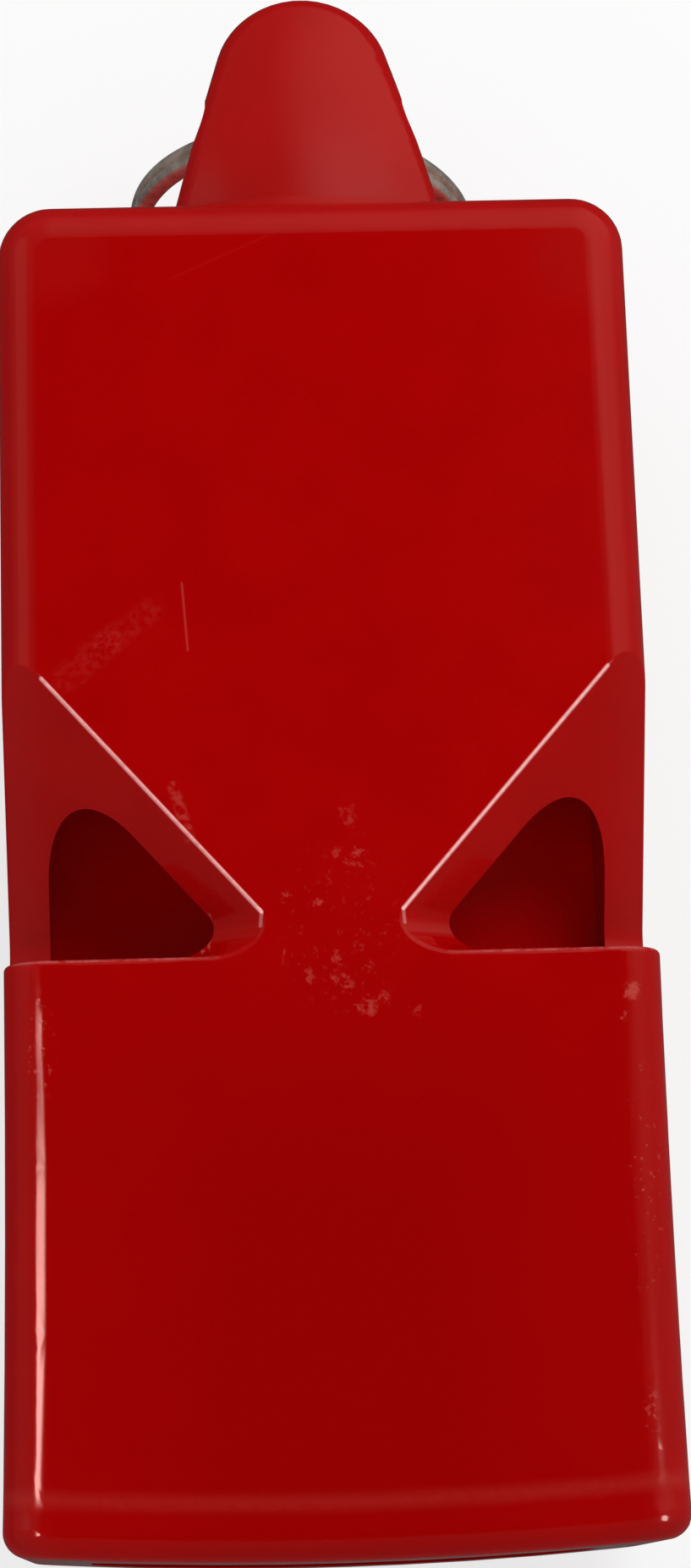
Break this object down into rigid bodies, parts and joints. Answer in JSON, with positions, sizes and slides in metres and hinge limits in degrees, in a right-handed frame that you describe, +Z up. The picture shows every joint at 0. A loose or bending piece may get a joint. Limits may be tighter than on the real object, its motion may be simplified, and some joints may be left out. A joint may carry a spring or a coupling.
{
  "type": "pealess sports whistle",
  "caption": "Pealess referee whistle: a flat chambered body with slanted sound notches, a lipped mouthpiece and a rear lug that carries a steel split ring.",
  "frame": {"origin": "on the resting plane under the middle of the bounding box", "axes": "+X across the whistle, +Y from the mouthpiece to the lug, +Z up out of the face with two notches"},
  "size_m": [0.0238, 0.0576, 0.019],
  "materials": {
    "red_shell": "moulded gloss",
    "red_core": "moulded gloss",
    "ring_steel": "drawn wire"
  },
  "bodies": {
    "whistle": {"upper_shell": "red_shell", "lower_shell": "red_shell", "chamber_core": "red_core"},
    "ring": {"split_ring": "ring_steel"}
  },
  "joints": [
    {"name": "ring_swing", "type": "hinge", "parent": "whistle", "child": "ring", "pos_m": [0, 0.0234, 0.01255], "axis": [1, 0, 0], "range_deg": [-0.25, 200]}
  ]
}
